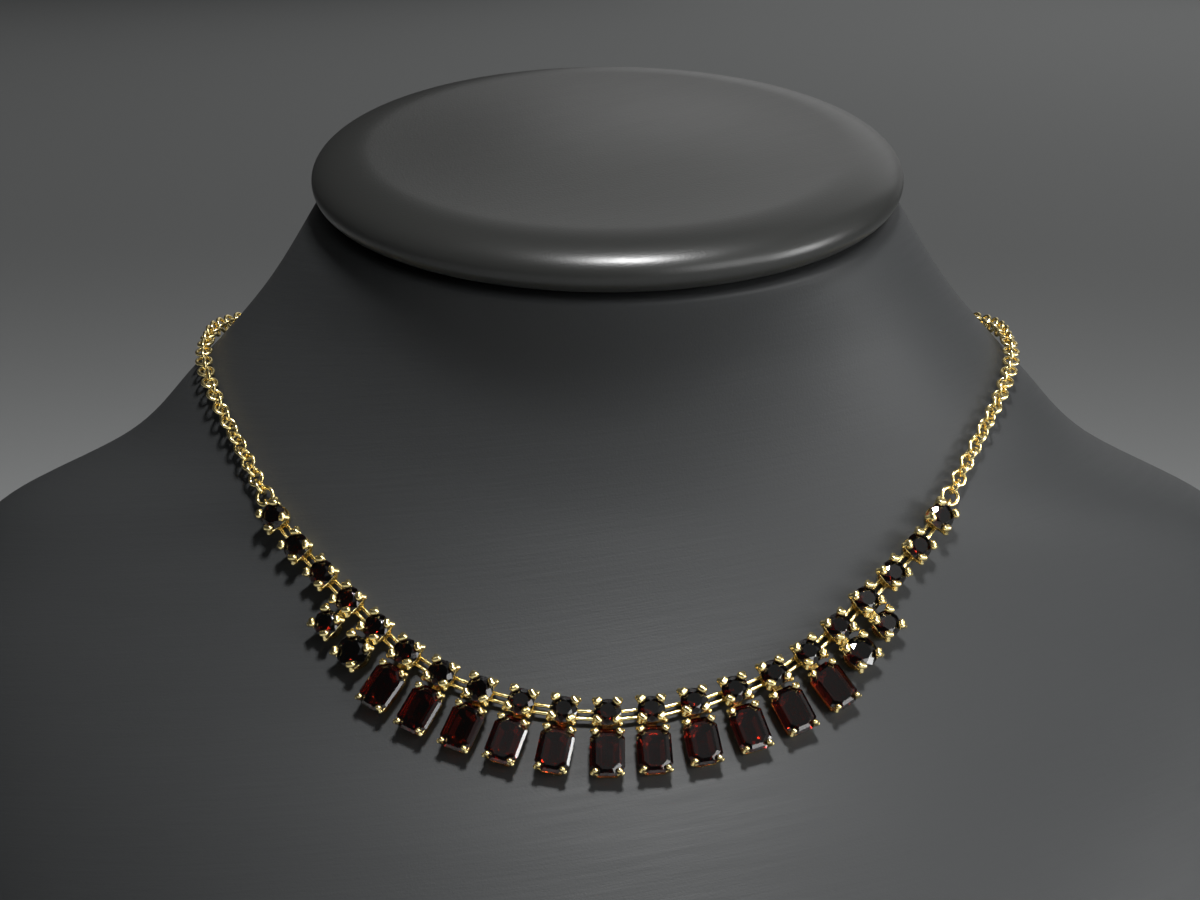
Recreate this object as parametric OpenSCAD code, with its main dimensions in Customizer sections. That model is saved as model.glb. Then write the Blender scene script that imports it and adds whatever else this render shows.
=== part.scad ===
// Fringe necklace of claw-set stones, on a plain neck bust. Millimetres.
// +Z up, -Y front, origin at the middle of the bust's flat base.

/* [Row] */
// Distance from one row setting to the next, along the row
pitch = 7.0; // [6.9:0.05:7.2]
// Settings on each side of the middle one
side_count = 10; // [10]
// How many on each side of the middle one carry a drop
drop_side_count = 7; // [7]
// Diameter of the round row stones
row_stone_d = 4.5; // [4.3:0.05:4.6]
// Height of the settings' feet over the bust
foot_lift = 0.3; // [0.25:0.05:0.5]

/* [Drops] */
// Width of an emerald-cut stone
emerald_w = 5.6; // [5.4:0.1:5.7]
// Length of an emerald-cut stone
emerald_l = 8.0; // [7.6:0.1:8.2]
// Width cut off each corner of an emerald-cut stone
emerald_corner = 1.5; // [1.4:0.05:1.6]
// Diameter of the large round drop stones
large_round_d = 5.5; // [5.2:0.05:5.6]
// From a row stone's middle to an emerald-cut stone's middle
emerald_drop = 6.9; // [6.9:0.05:7.2]
// From a row stone's middle to a large round stone's middle
large_round_drop = 5.5; // [5.5:0.05:5.8]
// From a row stone's middle to a small round stone's middle
small_round_drop = 5.2; // [5.1:0.05:5.4]

/* [Settings] */
// Height of a stone's girdle over the setting's foot
girdle_z = 2.6; // [2.5:0.05:2.8]
// Height of a setting's base ring
base_h = 0.5; // [0.4:0.05:0.55]
// Radius of a claw at its foot
claw_foot_r = 0.3; // [0.22:0.01:0.32]
// Radius of a round setting's claw where it bends over the stone
claw_r = 0.46; // [0.36:0.01:0.48]
// Radius of an emerald-cut setting's claw where it bends over the stone
emerald_claw_r = 0.36; // [0.32:0.01:0.38]
// Radius of the rounded tip of a round setting's claw
tip_r = 0.57; // [0.46:0.01:0.58]
// Radius of the rounded tip of an emerald-cut setting's claw
emerald_tip_r = 0.46; // [0.42:0.01:0.46]
// Half the extra width of a round setting's tip, across the claw
tip_spread = 0.28; // [0.16:0.01:0.3]
// Gap between a stone and its claws
stone_gap = 0.16; // [0.14:0.01:0.2]

/* [Links and chain] */
// Wire thickness of the links between settings
row_link_wire = 0.64; // [0.56:0.02:0.66]
// Outer diameter of a chain link
chain_od = 3.1; // [2.9:0.05:3.3]
// Wire thickness of a chain link
chain_wire = 0.62; // [0.55:0.01:0.66]
// Outer diameter of the jump ring at each end of the row
ring_od = 3.7; // [3.5:0.05:3.8]
// Wire thickness of the jump ring
ring_wire = 0.7; // [0.62:0.01:0.72]
// Play between two links
link_play = 0.12; // [0.1:0.01:0.16]
// Height of the chain's middle over the bust
chain_lift = 1.75; // [1.7:0.05:2.2]
// Turn added from each chain link to the next, besides the quarter turn
link_twist = 2.5; // [0:0.5:3]
// Diameter of the clasp's barrel
clasp_d = 3.0; // [2.6:0.1:3.2]

/* [Bust] */
// Thickness of the oval cap at its middle
cap_t = 9.1; // [8.4:0.1:10]
// Radius of the cap's rim on its under side
cap_low_r = 3.0; // [2.4:0.1:3.6]
// Width of the rounded edge of the cap's top
cap_roll = 10; // [8:0.5:13]
// Half the cap's width
cap_half_w = 50.3; // [48:0.1:53]
// Half the cap's depth
cap_half_d = 47.5; // [45:0.5:50]
// Open gap between the neck and the cap
cap_gap = 1.5; // [1:0.1:2]
// How far the cap's middle rises above its rounded edge
cap_dome = 0.9; // [0.4:0.1:1.5]

/* [Hidden] */
$fn = 40;

// The bust's level sections, from the base up.
// [height, forward tilt in degrees, middle's Y, half width, front depth, back depth, pinch at the corners]
SECTIONS = [
    [0, 0, 35, 124, 107.5, 37.5, 0],
    [20, 0, 35, 129, 106, 37.5, 0],
    [40, 0, 35, 131, 99.5, 37.5, 0.01],
    [60, 0, 34, 131, 85.5, 38.5, 0.03],
    [80, 0, 32, 127, 68, 40.5, 0.07],
    [92, 0, 31.5, 117, 60, 41, 0.09],
    [103, 1, 30.5, 105.5, 54, 42, 0.10],
    [114, 3, 29, 84.5, 49, 43.5, 0.04],
    [126, 6, 26.5, 72.5, 45.5, 45.5, 0.03],
    [140, 10, 23, 60, 44, 44, 0.02],
    [157, 14, 18, 49, 45.5, 45, 0.01],
];

// The necklace's line round the bust: [angle from the front, section height]
LINE = [
    [0, 80],
    [12, 84.6],
    [25, 97.6],
    [40, 110],
    [60, 123.2],
    [85, 130],
    [115, 129.2],
    [145, 128.2],
    [180, 128],
];

// How each double setting lies on the bust: [place from the middle, turn in degrees]
TURNS = [
    [-7, 3],
    [-6, 1],
    [-5, 5],
    [-4, 0],
    [-3, -1],
    [-2, -3.5],
    [-1, -3],
    [0, 0],
    [1, -4.5],
    [2, -5],
    [3, -3],
    [4, -2.5],
    [5, -3],
    [6, -4],
    [7, -6],
];

bust_sides = 64;
ring_step = 6;
foot_round = 1.2;
neck_round = 1.2;
neck_top = SECTIONS[len(SECTIONS) - 1][0];
line_lift = 1.5;
line_step = 1;

// Smooth curve through the rows of a table, whose first column is the place along it
function rise(t, i) = (t[i + 1] - t[i]) / (t[i + 1][0] - t[i][0]);
function row_slope(t, i) =
    let (
        last = len(t) - 1,
        a = i > 0 ? t[i][0] - t[i - 1][0] : 0,
        b = i < last ? t[i + 1][0] - t[i][0] : 0
    )
    i == 0 ? rise(t, 0) :
    i == last ? rise(t, last - 1) :
    (rise(t, i - 1) * b + rise(t, i) * a) / (a + b);
function slopes(t) = [for (i = [0:len(t) - 1]) row_slope(t, i)];
function row_before(t, q) = max([0, for (i = [1:len(t) - 2]) if (q >= t[i][0]) i]);
function on_curve(t, s, q) =
    let (
        i = row_before(t, q),
        h = t[i + 1][0] - t[i][0],
        u = (q - t[i][0]) / h
    )
    t[i] * (2 * u * u * u - 3 * u * u + 1) + s[i] * (u * u * u - 2 * u * u + u) * h
    + t[i + 1] * (3 * u * u - 2 * u * u * u) + s[i + 1] * (u * u * u - u * u) * h;

SECTION_SLOPES = slopes(SECTIONS);
function section(z) = on_curve(SECTIONS, SECTION_SLOPES, z);
LINE_SLOPES = [for (i = [0:len(LINE) - 1]) i == 0 || i == len(LINE) - 1 ? [1, 0] : row_slope(LINE, i)];
function line_height(angle) = on_curve(LINE, LINE_SLOPES, angle)[1];

// A point of section s at an angle from the front, drawn in by inset
function section_point(s, angle, inset = 0) =
    let (
        w = 1 - s[6] * pow(sin(2 * angle), 2),
        depth = (cos(angle) > 0 ? s[4] : s[5]) - inset,
        y = -depth * cos(angle) * w
    )
    [(s[3] - inset) * sin(angle) * w, s[2] + y * cos(s[1]), s[0] + y * sin(s[1])];
function bust_point(angle, z) = section_point(section(z), angle);

// Direction of a vector, and the bust's outward direction at a point
function unit(v) = v / norm(v);
function bust_normal(angle, z) =
    let (
        across = bust_point(angle + 0.05, z) - bust_point(angle - 0.05, z),
        up = bust_point(angle, z + 0.05) - bust_point(angle, z - 0.05)
    )
    unit(cross(across, up));
function line_point(angle, lift) =
    let (z = line_height(angle))
    bust_point(angle, z) + lift * bust_normal(angle, z);

// Length along the necklace's line from the front, one value for each step of the angle
LINE_POINTS = [for (a = [0:line_step:180]) line_point(a, line_lift)];
line_last = len(LINE_POINTS) - 1;
LINE_LENGTHS = [
    for (
        i = 0, s = 0;
        i <= line_last;
        s = s + (i < line_last ? norm(LINE_POINTS[i + 1] - LINE_POINTS[i]) : 0), i = i + 1
    ) s
];
half_line = LINE_LENGTHS[line_last];
function angle_at(s) =
    let (i = max([0, for (j = [1:line_last - 1]) if (s >= LINE_LENGTHS[j]) j]))
    line_step * (i + (s - LINE_LENGTHS[i]) / (LINE_LENGTHS[i + 1] - LINE_LENGTHS[i]));

// Frame with its X along the necklace, Y up the bust and Z off it
function frame_of(along, off, at) =
    let (
        n = unit(off),
        t = unit(along - (along * n) * n),
        b = cross(n, t)
    )
    [
        [t[0], b[0], n[0], at[0]],
        [t[1], b[1], n[1], at[1]],
        [t[2], b[2], n[2], at[2]],
        [0, 0, 0, 1],
    ];
function line_frame(s, lift) =
    let (
        a = angle_at(s),
        z = line_height(a),
        along = line_point(a + 0.2, line_lift) - line_point(a - 0.2, line_lift),
        n = bust_normal(a, z)
    )
    frame_of(along, n, bust_point(a, z) + lift * n);

// The same, moved down the bust by a length, so that a double setting rests on the bust at its middle
function lower_frame(s, down, lift) =
    let (
        a = angle_at(s),
        z = line_height(a),
        along = unit(line_point(a + 0.2, line_lift) - line_point(a - 0.2, line_lift)),
        n = bust_normal(a, z),
        b = cross(n, along),
        by_angle = (bust_point(a + 0.1, z) - bust_point(a - 0.1, z)) / 0.2,
        by_height = (bust_point(a, z + 0.1) - bust_point(a, z - 0.1)) / 0.2,
        det = (by_angle * along) * (by_height * b) - (by_angle * b) * (by_height * along),
        a2 = a + down * (by_height * along) / det,
        z2 = z - down * (by_angle * along) / det,
        n2 = bust_normal(a2, z2)
    )
    frame_of(along, n2, bust_point(a2, z2) + lift * n2);

// Derived sizes of the settings, links and chain
crown_h = 0.62;
girdle_t = 0.1;
emerald_tip_spread = 0.12;
culet_z = 0.8;
bend_z = girdle_z + 0.15;
post_r = 0.2;
post_x = 1.6;
row_link_z = 0.94;
arch_wire_r = 0.22;
arch_low_z = 1.65;
base_ring_w = 0.6;
eye_od = 2.3;
eye_wire = 0.55;
eye_x = 2.75;
eye_z = 1.3;
row_link_end_r = post_r + link_play + row_link_wire / 2;
row_link_half = pitch / 2 - post_x + row_link_end_r;

function pad2(i) = i < 10 ? str("0", i) : str(i);
middle = side_count + 1;
all_count = 2 * side_count + 1;
first_drop = middle - drop_side_count;
last_drop = middle + drop_side_count;
DROP_NUMBERS = [for (i = [first_drop:last_drop]) i];

// Drops by their place from the middle: 0 to 5 emerald cut, then a large and a small round stone
EMERALD_LAST = 5;
function is_emerald(k) = abs(k) <= EMERALD_LAST;
function drop_round_d(k) = abs(k) == EMERALD_LAST + 1 ? large_round_d : row_stone_d;
function drop_length(k) =
    is_emerald(k) ? emerald_drop :
    abs(k) == EMERALD_LAST + 1 ? large_round_drop : small_round_drop;

// Frame of the setting at the row's k-th place from the middle
function has_drop(k) = abs(k) <= drop_side_count;
function moved(x, y) = [[1, 0, 0, x], [0, 1, 0, y], [0, 0, 1, 0], [0, 0, 0, 1]];
function turned(a) = [[cos(a), -sin(a), 0, 0], [sin(a), cos(a), 0, 0], [0, 0, 1, 0], [0, 0, 0, 1]];
function sided(side) = [[side, 0, 0, 0], [0, 1, 0, 0], [0, 0, 1, 0], [0, 0, 0, 1]];
function setting_frame(k) =
    let (
        side = k < 0 ? -1 : 1,
        s = abs(k) * pitch,
        down = drop_length(k) / 2,
        turn = turned(side * lookup(k, TURNS))
    )
    has_drop(k) ? sided(side) * lower_frame(s, down, foot_lift) * moved(0, down) * turn :
    sided(side) * line_frame(s, foot_lift);
module at_setting(k) {
    multmatrix(setting_frame(k)) children();
}

// Closed solid through rings of points, each with the same number
module loft(rings) {
    n = len(rings[0]);
    last = len(rings) - 1;
    points = [for (r = rings) for (p = r) p];
    bottom = [[for (i = [0:n - 1]) i]];
    top = [[for (i = [n - 1:-1:0]) last * n + i]];
    sides = [
        for (k = [0:last - 1])
            for (i = [0:n - 1])
                let (j = (i + 1) % n, a = k * n, b = a + n)
                each [[a + i, b + i, b + j], [a + i, b + j, a + j]]
    ];
    polyhedron(points, concat(bottom, top, sides));
}

// Round brilliant cut, resting by its girdle at girdle_z
module round_stone(d) {
    r = d / 2;
    table_r = 0.56 * r;
    bezel_r = 0.8 * r;
    lower_r = 0.5 * r;
    top_z = girdle_z + girdle_t / 2 + crown_h;
    upper_z = girdle_z + girdle_t / 2;
    lower_z = girdle_z - girdle_t / 2;
    half = cos(22.5);
    bezel_z = top_z - (top_z - upper_z) * (bezel_r * half - table_r) / (r - table_r);
    main_z = lower_z - (lower_z - culet_z) * (r - lower_r * half) / r;
    points = concat(
        [for (i = [0:7]) [table_r * cos(45 * i), table_r * sin(45 * i), top_z]],
        [for (i = [0:7]) [bezel_r * cos(45 * i + 22.5), bezel_r * sin(45 * i + 22.5), bezel_z]],
        [for (i = [0:15]) [r * cos(22.5 * i), r * sin(22.5 * i), upper_z]],
        [for (i = [0:15]) [r * cos(22.5 * i), r * sin(22.5 * i), lower_z]],
        [for (i = [0:7]) [lower_r * cos(45 * i + 22.5), lower_r * sin(45 * i + 22.5), main_z]],
        [[0, 0, culet_z]]
    );
    table = [[for (i = [7:-1:0]) i]];
    facets = [
        for (i = [0:7])
            let (
                t0 = i,
                t1 = (i + 1) % 8,
                b0 = 8 + i,
                b1 = 8 + (i + 7) % 8,
                g0 = 16 + 2 * i,
                g1 = 16 + 2 * i + 1,
                g2 = 16 + (2 * i + 2) % 16,
                h0 = g0 + 16,
                h1 = g1 + 16,
                h2 = g2 + 16,
                m0 = 48 + i,
                m1 = 48 + (i + 7) % 8,
                culet = 56
            )
            each [
                [t0, t1, b0],
                [t0, b0, g0],
                [t0, g0, b1],
                [b0, g1, g0],
                [b0, g2, g1],
                [g0, g1, h1],
                [g0, h1, h0],
                [g1, g2, h2],
                [g1, h2, h1],
                [h0, h1, m0],
                [h1, h2, m0],
                [h0, m0, culet],
                [h0, culet, m1],
            ]
    ];
    polyhedron(points, concat(table, facets));
}

// Ring of eight points of an oblong with cut corners
function cut_oblong(hx, hy, corner, z) = [
    [hx, -hy + corner, z],
    [hx, hy - corner, z],
    [hx - corner, hy, z],
    [-hx + corner, hy, z],
    [-hx, hy - corner, z],
    [-hx, -hy + corner, z],
    [-hx + corner, -hy, z],
    [hx - corner, -hy, z],
];

// Emerald cut in steps, resting by its girdle at girdle_z.
// A row for each step: [drawn in from the girdle, part of the corner kept, height]
module emerald_stone() {
    hx = emerald_w / 2;
    hy = emerald_l / 2;
    upper_z = girdle_z + girdle_t / 2;
    lower_z = girdle_z - girdle_t / 2;
    steps = [
        [1.9, 0.42, culet_z - 0.1],
        [1.15, 0.62, culet_z + 0.75],
        [0.45, 0.85, lower_z - 0.55],
        [0, 1, lower_z],
        [0, 1, upper_z],
        [0.4, 0.86, upper_z + 0.34],
        [0.95, 0.68, upper_z + crown_h - 0.04],
    ];
    rings = [for (s = steps) cut_oblong(hx - s[0], hy - s[0], emerald_corner * s[1], s[2])];
    loft(rings);
}

// One claw: a tapered wire up past the stone, bent in over it, with a rounded tip that spreads
// by the vector across to both sides
module claw(foot, bend, tip, leg_r, end_r, across) {
    wire_cone(foot, bend, claw_foot_r, leg_r);
    translate(bend) sphere(r = leg_r + 0.03);
    wire_cone(bend, tip, leg_r, end_r - 0.05);
    if (norm(across) > 0) {
        wire_cone(tip - across, tip + across, end_r, end_r);
        for (side = [-1, 1]) translate(tip + side * across) sphere(r = end_r);
    } else {
        translate(tip) sphere(r = end_r);
    }
}

// Round wire from a to b, r1 thick at a and r2 at b
module wire_cone(a, b, r1, r2) {
    d = b - a;
    turn = atan2(d[1], d[0]);
    lean = atan2(norm([d[0], d[1]]), d[2]);
    translate(a) rotate([0, 0, turn]) rotate([0, lean, 0]) cylinder(h = norm(d), r1 = r1, r2 = r2);
}

// Arch of wire that hangs between two claws of a round setting, on its +X side
module arch(reach, half_w) {
    sag = girdle_z - arch_low_z;
    r = (half_w * half_w + sag * sag) / (2 * sag);
    lean = 20;
    span = asin(half_w / r);
    translate([reach, 0, girdle_z])
        rotate([0, lean, 0])
            translate([0, 0, r - sag])
                rotate([90, 0, -90])
                    rotate([0, 0, -90 - span])
                        rotate_extrude(angle = 2 * span) translate([r, 0]) circle(r = arch_wire_r);
}

// Claw setting for a round stone: base ring, four claws and four arches
module round_basket(d) {
    r = d / 2;
    base_r = 0.87 * r;
    claw_at = r + stone_gap + claw_r;
    difference() {
        cylinder(h = base_h, r = base_r);
        translate([0, 0, -1]) cylinder(h = base_h + 2, r = base_r - base_ring_w);
    }
    for (a = [45:90:315]) {
        c = [cos(a), sin(a), 0];
        foot = c * (base_r - 0.3) + [0, 0, base_h / 2];
        bend = c * claw_at + [0, 0, bend_z];
        tip = c * (r - 0.06) + [0, 0, girdle_z + crown_h + 0.23];
        claw(foot, bend, tip, claw_r, tip_r, tip_spread * [-sin(a), cos(a), 0]);
    }
    for (a = [0:90:270]) rotate([0, 0, a]) arch(claw_at * cos(45), claw_at * sin(45));
}

// Post that a row link goes round, from the base ring up to the arch
module link_post(side) {
    translate([side * post_x, 0, base_h / 2])
        cylinder(h = arch_low_z - base_h / 2, r = post_r);
}

// Eye for the chain's ring, at the outer side of the row's last setting
module chain_eye() {
    translate([eye_x, 0, eye_z])
        rotate([90, 0, 0])
            rotate_extrude() translate([(eye_od - eye_wire) / 2, 0]) circle(r = eye_wire / 2);
}

// Claw setting for an emerald-cut stone: base frame, four claws and a rail between them
module emerald_basket() {
    hx = emerald_w / 2 - 0.55;
    hy = emerald_l / 2 - 0.55;
    out = stone_gap + emerald_claw_r;
    cx = emerald_w / 2 - emerald_corner / 2 + out * cos(45);
    cy = emerald_l / 2 - emerald_corner / 2 + out * sin(45);
    rail_z = 1.45;
    rail_part = (rail_z - base_h / 2) / (bend_z - base_h / 2);
    linear_extrude(base_h) difference() {
        polygon([for (p = cut_oblong(hx, hy, 0.7, 0)) [p[0], p[1]]]);
        polygon([for (p = cut_oblong(hx - 0.5, hy - 0.5, 0.4, 0)) [p[0], p[1]]]);
    }
    foot = [hx - 0.45, hy - 0.45, base_h / 2];
    bend = [cx, cy, bend_z];
    rail = foot + (bend - foot) * rail_part;
    tip = [emerald_w / 2 - 0.85, emerald_l / 2 - 0.65, girdle_z + crown_h + 0.13];
    for (sx = [-1, 1])
        for (sy = [-1, 1]) {
            m = [sx, sy, 1];
            across = sy > 0 ? emerald_tip_spread * [sx, -sy, 0] : [0, 0, 0];
            claw(flip(foot, m), flip(bend, m), flip(tip, m), emerald_claw_r, emerald_tip_r, across);
        }
    for (s = [-1, 1]) {
        wire_cone([s * rail[0], -rail[1], rail_z], [s * rail[0], rail[1], rail_z], arch_wire_r, arch_wire_r);
        wire_cone([-rail[0], s * rail[1], rail_z], [rail[0], s * rail[1], rail_z], arch_wire_r, arch_wire_r);
    }
}
function flip(p, m) = [p[0] * m[0], p[1] * m[1], p[2] * m[2]];

// Setting of the row at place k from the middle, with its posts, and the chain's eye at the row's end
module row_setting(k) {
    round_basket(row_stone_d);
    link_post(-1);
    link_post(1);
    if (abs(k) == side_count) chain_eye();
}

// Row setting and the drop's setting below it, soldered by a flat bar
module double_setting(k) {
    down = drop_length(k);
    row_base = 0.87 * row_stone_d / 2;
    drop_base = is_emerald(k) ? emerald_l / 2 - 0.55 : 0.87 * drop_round_d(k) / 2;
    bar_w = 1.5;
    bar_h = base_h - 0.06;
    color("gold") at_setting(k) {
        row_setting(k);
        translate([-bar_w / 2, -down + drop_base - 0.35, 0.03])
            cube([bar_w, down - row_base - drop_base + 0.7, bar_h]);
        translate([0, -down, 0])
            if (is_emerald(k)) {
                emerald_basket();
            } else {
                round_basket(drop_round_d(k));
            }
    }
}

// The single settings at one end of the row
module end_settings(side) {
    color("gold")
        for (k = [drop_side_count + 1:side_count]) at_setting(side * k) row_setting(k);
}

module row_stone(k) {
    color("#3a0d0c") at_setting(k) round_stone(row_stone_d);
}

module drop_stone(k) {
    color("#5e1512") at_setting(k)
        translate([0, -drop_length(k), 0])
            if (is_emerald(k)) {
                emerald_stone();
            } else {
                round_stone(drop_round_d(k));
            }
}

// Flat oval link of round wire, lying in the XY plane
module oval_link() {
    straight = row_link_half - row_link_end_r;
    for (s = [-1, 1]) {
        translate([s * straight, 0, 0])
            rotate([0, 0, s > 0 ? -90 : 90])
                rotate_extrude(angle = 180) translate([row_link_end_r, 0]) circle(r = row_link_wire / 2);
        translate([-straight, s * row_link_end_r, 0])
            rotate([0, 90, 0]) cylinder(h = 2 * straight, r = row_link_wire / 2);
    }
}

// Middle of a setting's post at the links' height, side 1 being the viewer's right
function post_at(k, side) =
    let (p = setting_frame(k) * [side * (k < 0 ? -1 : 1) * post_x, 0, row_link_z, 1])
    [p[0], p[1], p[2]];
function outward(k) =
    let (n = setting_frame(k) * [0, 0, 1, 0])
    [n[0], n[1], n[2]];

module row_links() {
    color("gold")
        for (k = [-side_count:side_count - 1]) {
            a = post_at(k, 1);
            b = post_at(k + 1, -1);
            multmatrix(frame_of(b - a, outward(k) + outward(k + 1), (a + b) / 2)) oval_link();
        }
}

// Round link of wire, its opening facing along Z
module round_link(od, wire) {
    rotate_extrude() translate([(od - wire) / 2, 0]) circle(r = wire / 2);
}

// Places along the line: the ring, then the links at their taut pitch less the play
eye_play = (eye_od - 2 * eye_wire - ring_wire) / 2 - link_play;
ring_s = side_count * pitch + eye_x + eye_play + (ring_od - ring_wire) / 2;
first_link_s = ring_s + (ring_od + chain_od) / 2 - ring_wire - chain_wire - link_play;
chain_pitch = chain_od - 2 * chain_wire - link_play;
clasp_min_half = 5.5;
chain_count = floor((half_line - clasp_min_half - first_link_s) / chain_pitch) + 1;
last_link_s = first_link_s + (chain_count - 1) * chain_pitch;
clasp_eye_od = 2.8;
clasp_eye_wire = 0.6;
clasp_eye_s = last_link_s + (chain_od + clasp_eye_od) / 2 - chain_wire - clasp_eye_wire - link_play;
clasp_half = half_line - clasp_eye_s;

// One side's chain: a jump ring lying flat, then links each a quarter turn on from the last
module chain(side) {
    color("gold")
        mirror([side < 0 ? 1 : 0, 0, 0]) {
            multmatrix(line_frame(ring_s, foot_lift + eye_z)) round_link(ring_od, ring_wire);
            for (i = [0:chain_count - 1]) {
                lift = i == 0 ? (foot_lift + eye_z + chain_lift) / 2 : chain_lift;
                multmatrix(line_frame(first_link_s + i * chain_pitch, lift))
                    rotate([90 * (i + 1) + link_twist * i, 0, 0]) round_link(chain_od, chain_wire);
            }
        }
}

// Barrel clasp behind the neck, with an eye at each end turned to suit the last link
module clasp() {
    turn = 90 * chain_count + link_twist * (chain_count - 1) + 90;
    barrel_half = clasp_half - clasp_eye_od / 2 + clasp_eye_wire / 2;
    color("gold") {
        multmatrix(line_frame(half_line - 0.01, chain_lift)) translate([-barrel_half, 0, 0])
            rotate([0, 90, 0]) cylinder(h = 2 * barrel_half, r = clasp_d / 2);
        for (side = [0, 1])
            mirror([side, 0, 0])
                multmatrix(line_frame(clasp_eye_s, chain_lift))
                    rotate([turn, 0, 0]) round_link(clasp_eye_od, clasp_eye_wire);
    }
}

// Neck, shoulders and chest, with a slightly rounded edge at the foot and at the neck's top
module bust_body() {
    count = round((neck_top - neck_round - foot_round) / ring_step);
    step = (neck_top - neck_round - foot_round) / count;
    levels = [for (i = [0:count]) foot_round + i * step];
    function ring(z, inset) =
        let (s = section(z))
        [for (i = [0:bust_sides - 1]) section_point(s, 360 * i / bust_sides, inset)];
    color("#3c3d3d") loft(concat(
        [ring(0, foot_round)],
        [for (z = levels) ring(z, 0)],
        [ring(neck_top, neck_round)]
    ));
}

// Oval cap on a smaller boss, parallel to the neck's sloping top
module bust_cap() {
    top = section(neck_top);
    roll_h = cap_t - cap_dome - cap_low_r;
    low_z = cap_gap + cap_low_r;
    seat_gap = 0.2;
    boss_inset = 14;
    // [drawn in from the rim, height over the neck's top]
    profile = concat(
        [[boss_inset, seat_gap], [boss_inset, cap_gap]],
        [for (a = [-90:30:0]) [cap_low_r * (1 - cos(a)), low_z + cap_low_r * sin(a)]],
        [for (a = [15:15:90]) [cap_roll * (1 - cos(a)), low_z + roll_h * sin(a)]],
        [for (t = [0.5, 0.95])
            [cap_roll + t * (cap_half_d - cap_roll), cap_gap + cap_t - cap_dome * (1 + cos(180 * t)) / 2]]
    );
    color("#454646")
        translate([0, top[2], top[0]])
            rotate([top[1], 0, 0])
                loft([
                    for (p = profile) [
                        for (i = [0:bust_sides - 1])
                            let (a = 360 * i / bust_sides)
                            [(cap_half_w - p[0]) * sin(a), -(cap_half_d - p[0]) * cos(a), p[1]]
                    ]
                ]);
}

bust_body();
bust_cap();
for (i = DROP_NUMBERS) {
    double_setting(i - middle);
}
end_settings(-1);  // left_end_settings
end_settings(1);  // right_end_settings
for (i = [1:all_count]) {
    row_stone(i - middle);
}
for (i = DROP_NUMBERS) {
    drop_stone(i - middle);
}
row_links();
chain(-1);  // left_chain
chain(1);  // right_chain
clasp();
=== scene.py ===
import math

import bpy
import numpy as np
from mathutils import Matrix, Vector


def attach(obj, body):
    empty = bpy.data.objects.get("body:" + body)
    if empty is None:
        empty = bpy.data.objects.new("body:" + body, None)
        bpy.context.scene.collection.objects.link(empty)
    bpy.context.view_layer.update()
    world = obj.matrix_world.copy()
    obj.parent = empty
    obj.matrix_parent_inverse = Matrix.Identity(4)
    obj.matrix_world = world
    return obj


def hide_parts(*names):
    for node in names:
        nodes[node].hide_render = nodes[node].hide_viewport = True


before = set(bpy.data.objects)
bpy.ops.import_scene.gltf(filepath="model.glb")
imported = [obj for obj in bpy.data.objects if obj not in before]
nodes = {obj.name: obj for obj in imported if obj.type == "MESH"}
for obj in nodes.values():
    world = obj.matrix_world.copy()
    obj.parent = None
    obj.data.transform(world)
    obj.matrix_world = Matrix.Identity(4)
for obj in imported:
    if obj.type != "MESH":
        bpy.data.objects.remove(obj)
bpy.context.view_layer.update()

MM = 0.001


# Camera: 11 degrees above the horizon, in front of the row's middle
CAMERA_AT = Vector((0, -0.61676, 0.23673))
CAMERA_DOWN = 11
cam = bpy.data.cameras.new("camera")
cam.sensor_fit = "HORIZONTAL"
cam.sensor_width = 36
cam.lens = 112.18
cam.shift_x = -0.00625
cam.clip_end = 50
camera = bpy.data.objects.new("camera", cam)
camera.location = CAMERA_AT
camera.rotation_euler = (math.radians(90 - CAMERA_DOWN), 0, 0)
bpy.context.scene.collection.objects.link(camera)
bpy.context.scene.camera = camera


# Bust, in millimetres, from the same level sections as the solids: height, forward tilt
# in degrees, middle's Y, half width, front depth, back depth, pinch at the corners
SECTIONS = np.array([
    [0, 0, 35, 124, 107.5, 37.5, 0],
    [20, 0, 35, 129, 106, 37.5, 0],
    [40, 0, 35, 131, 99.5, 37.5, 0.01],
    [60, 0, 34, 131, 85.5, 38.5, 0.03],
    [80, 0, 32, 127, 68, 40.5, 0.07],
    [92, 0, 31.5, 117, 60, 41, 0.09],
    [103, 1, 30.5, 105.5, 54, 42, 0.10],
    [114, 3, 29, 84.5, 49, 43.5, 0.04],
    [126, 6, 26.5, 72.5, 45.5, 45.5, 0.03],
    [140, 10, 23, 60, 44, 44, 0.02],
    [157, 14, 18, 49, 45.5, 45, 0.01],
])
NECK_TOP = SECTIONS[-1][0]
EDGE_ROUND = 1.2
EDGE_RINGS = 6
BUST_RINGS = 130
TOP_INSETS = (1.8, 12, 30)
CAP_HALF_W = 50.3
CAP_HALF_D = 47.5
CAP_GAP = 1.5
CAP_THICK = 9.1
CAP_LOW_R = 3.0
CAP_ROLL = 10
CAP_DOME = 0.9
CAP_BOSS_INSET = 14
CAP_BOSS_INNER = 24
CAP_SEAT_GAP = 0.2
CAP_LOW_RINGS = 14
CAP_TOP_RINGS = 26
CAP_DOME_END = 0.96
SIDES = 288
ROUND = np.radians(np.arange(SIDES) * 360.0 / SIDES)


def section_slopes(table):
    """The slope of each column at each height, for a smooth curve through the table."""
    rise = np.diff(table, axis=0) / np.diff(table[:, 0])[:, None]
    h = np.diff(table[:, 0])[:, None]
    inner = (rise[:-1] * h[1:] + rise[1:] * h[:-1]) / (h[1:] + h[:-1])
    return np.vstack([rise[:1], inner, rise[-1:]])


SLOPES = section_slopes(SECTIONS)


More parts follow.
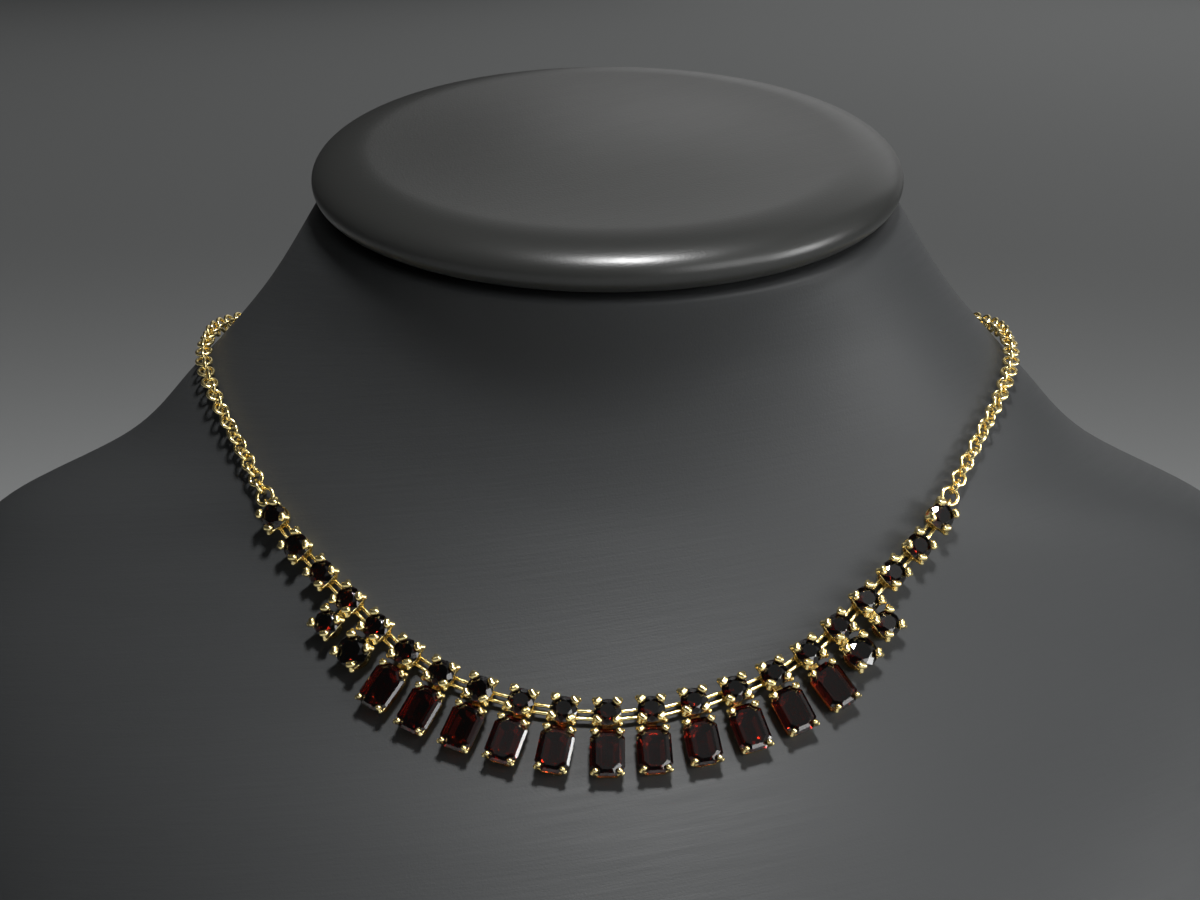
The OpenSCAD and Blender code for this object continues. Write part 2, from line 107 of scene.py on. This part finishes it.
def section(z):
    """The table's row at height z, by cubic interpolation."""
    i = int(np.clip(np.searchsorted(SECTIONS[:, 0], z, "right") - 1, 0, len(SECTIONS) - 2))
    a, b = SECTIONS[i], SECTIONS[i + 1]
    h = b[0] - a[0]
    u = (z - a[0]) / h
    return (a * (2 * u**3 - 3 * u**2 + 1) + SLOPES[i] * (u**3 - 2 * u**2 + u) * h
            + b * (3 * u**2 - 2 * u**3) + SLOPES[i + 1] * (u**3 - u**2) * h)


def section_ring(z, inset):
    height, tilt, middle_y, half_w, front, back, pinch = section(z)
    w = 1 - pinch * np.sin(2 * ROUND) ** 2
    depth = np.where(np.cos(ROUND) > 0, front, back) - inset
    y = -depth * np.cos(ROUND) * w
    tilt = math.radians(tilt)
    return np.column_stack([
        (half_w - inset) * np.sin(ROUND) * w,
        middle_y + y * math.cos(tilt),
        height + y * math.sin(tilt),
    ])


def add_object(name, verts, faces, smooth=True):
    mesh = bpy.data.meshes.new(name)
    mesh.from_pydata([tuple(v) for v in verts], [], [tuple(f) for f in faces])
    mesh.update()
    if smooth:
        mesh.polygons.foreach_set("use_smooth", [True] * len(mesh.polygons))
    obj = bpy.data.objects.new(name, mesh)
    bpy.context.scene.collection.objects.link(obj)
    return obj


def loft(name, rings, bottom, top):
    """Closed smooth mesh through rings of points, with a point that closes each end."""
    n = len(rings[0])
    verts = [p * MM for ring in rings for p in ring] + [np.array(bottom) * MM, np.array(top) * MM]
    faces = []
    for k in range(len(rings) - 1):
        for i in range(n):
            j = (i + 1) % n
            faces.append((k * n + i, k * n + j, (k + 1) * n + j, (k + 1) * n + i))
    last = (len(rings) - 1) * n
    for i in range(n):
        j = (i + 1) % n
        faces.append((j, i, len(verts) - 2))
        faces.append((last + i, last + j, len(verts) - 1))
    return add_object(name, verts, faces)


def make_bust():
    arc = [(math.cos(math.radians(a)), math.sin(math.radians(a)))
           for a in np.linspace(0, 90, EDGE_RINGS)]
    rings = [section_ring(EDGE_ROUND * (1 - c), EDGE_ROUND * (1 - s)) for c, s in arc[:-1]]
    rings += [section_ring(z, 0)
              for z in np.linspace(EDGE_ROUND, NECK_TOP - EDGE_ROUND, BUST_RINGS)]
    rings += [section_ring(NECK_TOP - EDGE_ROUND * (1 - s), EDGE_ROUND * (1 - c))
              for c, s in arc[1:]]
    top = section(NECK_TOP)
    middle = np.array([0, top[2], top[0]])
    rim = section_ring(NECK_TOP, EDGE_ROUND)
    rings += [middle + (rim - middle) * (1 - inset / top[3]) for inset in TOP_INSETS]
    return loft("bust_skin", rings, (0, SECTIONS[0][2], 0), middle)


def make_cap():
    """A profile of (inset, height), taken round an ellipse that tilts as the neck's top does."""
    top = section(NECK_TOP)
    tilt = math.radians(top[1])
    roll_h = CAP_THICK - CAP_DOME - CAP_LOW_R
    low_z = CAP_GAP + CAP_LOW_R
    profile = [
        (CAP_BOSS_INNER, CAP_SEAT_GAP),
        (CAP_BOSS_INSET, CAP_SEAT_GAP),
        (CAP_BOSS_INSET, CAP_GAP),
    ]
    profile += [(CAP_LOW_R * (1 - math.cos(a)), low_z + CAP_LOW_R * math.sin(a))
                for a in np.radians(np.linspace(-90, 0, CAP_LOW_RINGS))]
    profile += [(CAP_ROLL * (1 - math.cos(a)), low_z + roll_h * math.sin(a))
                for a in np.radians(np.linspace(0, 90, CAP_TOP_RINGS)[1:])]
    profile += [(CAP_ROLL + t * (CAP_HALF_D - CAP_ROLL),
                 CAP_GAP + CAP_THICK - CAP_DOME * (1 + math.cos(math.pi * t)) / 2)
                for t in np.linspace(0, CAP_DOME_END, CAP_TOP_RINGS)[1:]]

    def placed(x, y, z):
        return np.column_stack([x, top[2] + y * math.cos(tilt) - z * math.sin(tilt),
                                top[0] + y * math.sin(tilt) + z * math.cos(tilt)])

    rings = [placed((CAP_HALF_W - d) * np.sin(ROUND), -(CAP_HALF_D - d) * np.cos(ROUND),
                    np.full_like(ROUND, z))
             for d, z in profile]
    ends = placed(np.zeros(2), np.zeros(2), np.array([CAP_SEAT_GAP, CAP_GAP + CAP_THICK]))
    return loft("cap_skin", rings, ends[0], ends[1])


# Materials, with depths in metres
GRAIN_DEPTH = 0.00002
STREAK_STRETCH = (1.1, 1.1, 0.05)
STREAK_TURN = (0, math.radians(-8), 0)
GOLD_DEEP = (0.88, 0.68, 0.26)
GOLD_PALE = (1.0, 0.85, 0.45)
CAST_DEPTH = 0.00018
GARNET_IOR = 1.6
GARNET_ABSORPTION = (0.55, 0.13, 0.065, 1)


def new_material(name):
    m = bpy.data.materials.new(name)
    m.use_nodes = True
    return m, m.node_tree, m.node_tree.nodes["Principled BSDF"]


def node(tree, kind, **inputs):
    n = tree.nodes.new(kind)
    for key, value in inputs.items():
        n.inputs[key.replace("_", " ")].default_value = value
    return n


def noise(tree, scale, detail=2.0, roughness=0.5, stretch=(1, 1, 1), turn=(0, 0, 0)):
    """Noise in the object's own coordinates, stretched and then turned."""
    coord = node(tree, "ShaderNodeTexCoord")
    mapping = node(tree, "ShaderNodeMapping", Scale=stretch, Rotation=turn)
    mapping.vector_type = "TEXTURE"
    n = node(tree, "ShaderNodeTexNoise", Scale=scale, Detail=detail, Roughness=roughness)
    tree.links.new(coord.outputs["Object"], mapping.inputs["Vector"])
    tree.links.new(mapping.outputs["Vector"], n.inputs["Vector"])
    return n.outputs["Fac"]


def spread(tree, value, low, high):
    n = node(tree, "ShaderNodeMapRange", To_Min=low, To_Max=high)
    tree.links.new(value, n.inputs["Value"])
    return n.outputs["Result"]


def blend_colors(tree, fac, a, b):
    n = tree.nodes.new("ShaderNodeMix")
    n.data_type = "RGBA"
    n.inputs["A"].default_value = (*a, 1)
    n.inputs["B"].default_value = (*b, 1)
    tree.links.new(fac, n.inputs["Factor"])
    return n.outputs["Result"]


def bump(tree, bsdf, heights):
    """heights: a list of (value, distance in metres), the first the broadest."""
    last = None
    for value, distance in heights:
        n = node(tree, "ShaderNodeBump", Distance=distance, Strength=1.0)
        tree.links.new(value, n.inputs["Height"])
        if last:
            tree.links.new(last, n.inputs["Normal"])
        last = n.outputs["Normal"]
    tree.links.new(last, bsdf.inputs["Normal"])


def leatherette(name, dark, light, rough, brushed, specular):
    """Fine grain, and long streaks that are nearly level. brushed is the streaks' depth."""
    m, tree, bsdf = new_material(name)
    broad = noise(tree, 9, 3)
    tree.links.new(blend_colors(tree, broad, dark, light), bsdf.inputs["Base Color"])
    streak = noise(tree, 60, 4, 0.6, stretch=STREAK_STRETCH, turn=STREAK_TURN)
    grain = noise(tree, 2600, 2, 0.6)
    tree.links.new(spread(tree, streak, *rough), bsdf.inputs["Roughness"])
    bump(tree, bsdf, [(streak, brushed), (grain, GRAIN_DEPTH)])
    bsdf.inputs["Specular IOR Level"].default_value = specular
    return m


def gold_material():
    m, tree, bsdf = new_material("polished pale gold")
    wear = noise(tree, 400, 3)
    color = blend_colors(tree, wear, GOLD_DEEP, GOLD_PALE)
    tree.links.new(color, bsdf.inputs["Base Color"])
    bsdf.inputs["Metallic"].default_value = 1.0
    tree.links.new(spread(tree, noise(tree, 900, 2), 0.16, 0.32), bsdf.inputs["Roughness"])
    bump(tree, bsdf, [(noise(tree, 700, 1), CAST_DEPTH)])
    return m


def garnet_material(name, deep, bright, density):
    m, tree, bsdf = new_material(name)
    color = blend_colors(tree, noise(tree, 180, 2), deep, bright)
    tree.links.new(color, bsdf.inputs["Base Color"])
    tree.links.new(spread(tree, noise(tree, 500, 2), 0.02, 0.07), bsdf.inputs["Roughness"])
    bsdf.inputs["Transmission Weight"].default_value = 1.0
    bsdf.inputs["IOR"].default_value = GARNET_IOR
    depth = node(tree, "ShaderNodeVolumeAbsorption", Color=GARNET_ABSORPTION, Density=density)
    tree.links.new(depth.outputs["Volume"], tree.nodes["Material Output"].inputs["Volume"])
    return m


def dress(obj, material):
    obj.data.materials.clear()
    obj.data.materials.append(material)


gold = gold_material()
row_garnet = garnet_material(
    "dark garnet glass", deep=(0.060, 0.017, 0.011), bright=(0.095, 0.027, 0.016), density=900)
drop_garnet = garnet_material(
    "garnet glass", deep=(0.29, 0.068, 0.032), bright=(0.38, 0.092, 0.044), density=560)
bust_skin = leatherette(
    "brushed dark leatherette", dark=(0.0265, 0.0278, 0.0286), light=(0.0325, 0.0338, 0.0346),
    rough=(0.46, 0.60), brushed=0.00004, specular=0.20)
cap_skin = leatherette(
    "satin dark leatherette", dark=(0.016, 0.0164, 0.0156), light=(0.021, 0.0214, 0.0204),
    rough=(0.28, 0.34), brushed=0.00001, specular=0.35)

bust = make_bust()
dress(bust, bust_skin)
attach(bust, "root")
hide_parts("bust_body")

cap = make_cap()
dress(cap, cap_skin)
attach(cap, "root")
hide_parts("bust_cap")

# The four round drops are as dark as the row's stones
ROUND_DROPS = ("drop_stone_04", "drop_stone_05", "drop_stone_17", "drop_stone_18")
for name, obj in nodes.items():
    if name.startswith("row_stone") or name in ROUND_DROPS:
        dress(obj, row_garnet)
    elif name.startswith("drop_stone"):
        dress(obj, drop_garnet)
    elif not name.startswith("bust"):
        dress(obj, gold)


# Floor and light
FLOOR_CORNERS = [(-6, -4, 0), (6, -4, 0), (6, 8, 0), (-6, 8, 0)]
FLOOR_COLOR = (0.45, 0.46, 0.46, 1)
WORLD_COLOR = (0.60, 0.61, 0.61, 1)
WORLD_STRENGTH = 0.05
LIGHTS_AIM_AT = Vector((0, -0.03, 0.09))

# Name, azimuth and elevation in degrees, distance and size in metres, power in watts,
# spread in degrees
LIGHTS = [
    ("key", 12, 66, 0.91, 0.125, 1.65, 70),
    ("overhead", 25, 55, 1.2, 1.2, 0.9, 180),
    ("front", 42, 16, 1.2, 0.6, 5.2, 180),
    ("right", 78, 30, 1.2, 0.9, 1.0, 180),
    ("low right", 75, 9, 0.8, 0.3, 0.65, 70),
    ("behind", 158, 38, 2.6, 2.0, 5.2, 180),
    ("low behind", 160, 20, 2.6, 2.0, 3.5, 180),
]


def add_floor():
    floor = add_object("floor", FLOOR_CORNERS, [(0, 1, 2, 3)], smooth=False)
    m, tree, bsdf = new_material("pale floor")
    bsdf.inputs["Base Color"].default_value = FLOOR_COLOR
    bsdf.inputs["Roughness"].default_value = 0.9
    dress(floor, m)


def add_light(name, azimuth, elevation, distance, size, energy, spread):
    """Azimuth 0 is in front of the necklace and 90 to the picture's right."""
    data = bpy.data.lights.new(name, "AREA")
    data.energy = energy
    data.size = size
    data.spread = math.radians(spread)
    obj = bpy.data.objects.new(name, data)
    az, el = math.radians(azimuth), math.radians(elevation)
    way = Vector((math.sin(az) * math.cos(el), -math.cos(az) * math.cos(el), math.sin(el)))
    obj.location = LIGHTS_AIM_AT + distance * way
    obj.rotation_euler = (LIGHTS_AIM_AT - obj.location).to_track_quat("-Z", "Y").to_euler()
    bpy.context.scene.collection.objects.link(obj)


add_floor()
for light in LIGHTS:
    add_light(*light)

world = bpy.data.worlds.new("studio")
world.use_nodes = True
background = world.node_tree.nodes["Background"]
background.inputs["Color"].default_value = WORLD_COLOR
background.inputs["Strength"].default_value = WORLD_STRENGTH
bpy.context.scene.world = world
bpy.context.scene.view_settings.view_transform = "Standard"
